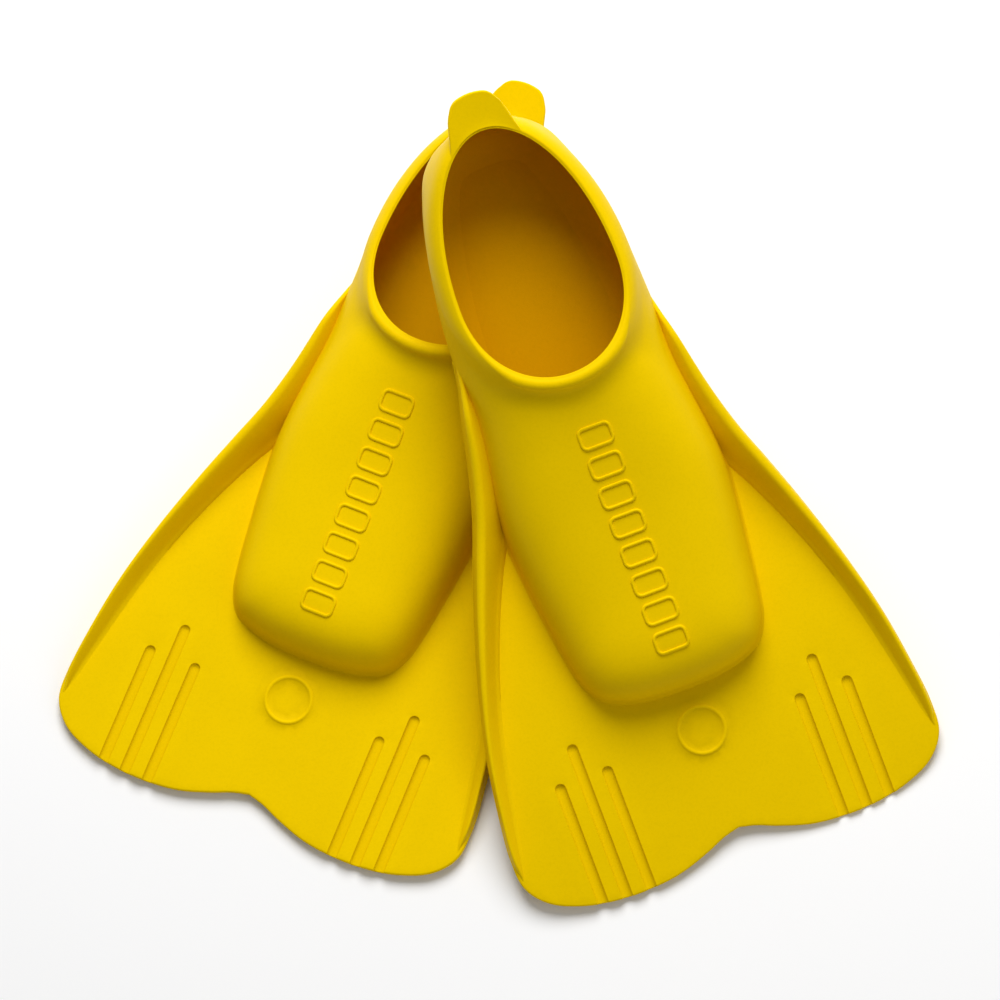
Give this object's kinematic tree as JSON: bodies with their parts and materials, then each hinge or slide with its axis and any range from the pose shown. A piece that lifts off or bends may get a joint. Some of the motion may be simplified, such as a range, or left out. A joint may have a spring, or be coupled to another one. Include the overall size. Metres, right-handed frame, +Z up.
{
  "type": "swim fins",
  "caption": "Pair of short closed-toe full-foot rubber swim fins with grooved flexing blades, side rails and heel pull tabs, lying heel over heel.",
  "frame": {"origin": "on the floor under the middle of the pair's box", "axes": "+Z up off the floor, -Y from the heels to the blade ends, +X across the pair to the right, seen from the heels"},
  "size_m": [0.3294, 0.307, 0.1135],
  "materials": {
    "pocket_rubber": "satin moulded rubber",
    "blade_rubber": "satin moulded rubber",
    "sole_rubber": "matt moulded rubber"
  },
  "bodies": {
    "left_fin": {"left_sole": "sole_rubber", "left_foot_pocket": "pocket_rubber", "left_collar": "pocket_rubber", "left_blade_root": "blade_rubber", "left_rail_rear_left": "blade_rubber", "left_rail_rear_right": "blade_rubber"},
    "left_flexing_blade": {"left_blade": "blade_rubber", "left_rail_front_left": "blade_rubber", "left_rail_front_right": "blade_rubber"},
    "left_pull_tab": {"left_heel_tab": "pocket_rubber"},
    "right_fin": {"right_sole": "sole_rubber", "right_foot_pocket": "pocket_rubber", "right_collar": "pocket_rubber", "right_blade_root": "blade_rubber", "right_rail_rear_left": "blade_rubber", "right_rail_rear_right": "blade_rubber"},
    "right_flexing_blade": {"right_blade": "blade_rubber", "right_rail_front_left": "blade_rubber", "right_rail_front_right": "blade_rubber"},
    "right_pull_tab": {"right_heel_tab": "pocket_rubber"}
  },
  "joints": [
    {"name": "right_fin_lift", "type": "slide", "parent": "left_fin", "child": "right_fin", "axis": [0, 0, 1], "range_m": [0, 0.15]},
    {"name": "left_blade_flex", "type": "hinge", "parent": "left_fin", "child": "left_flexing_blade", "pos_m": [-0.07225, -0.06489, 0.0033], "axis": [-0.9342, 0.3567, 0], "range_deg": [-30, 30], "stiffness_Nm_per_rad": 0.8},
    {"name": "left_tab_bend", "type": "hinge", "parent": "left_fin", "child": "left_pull_tab", "pos_m": [0.00587, 0.1397, 0.047], "axis": [-0.9342, 0.3567, 0], "range_deg": [-70, 35], "stiffness_Nm_per_rad": 0.03},
    {"name": "right_blade_flex", "type": "hinge", "parent": "right_fin", "child": "right_flexing_blade", "pos_m": [0.0725, -0.07579, 0.01549], "axis": [-0.9279, -0.3724, 0.017], "range_deg": [-30, 30], "stiffness_Nm_per_rad": 0.8},
    {"name": "right_tab_bend", "type": "hinge", "parent": "right_fin", "child": "right_pull_tab", "pos_m": [-0.00207, 0.11414, 0.10626], "axis": [-0.9279, -0.3724, 0.017], "range_deg": [-70, 35], "stiffness_Nm_per_rad": 0.03}
  ]
}
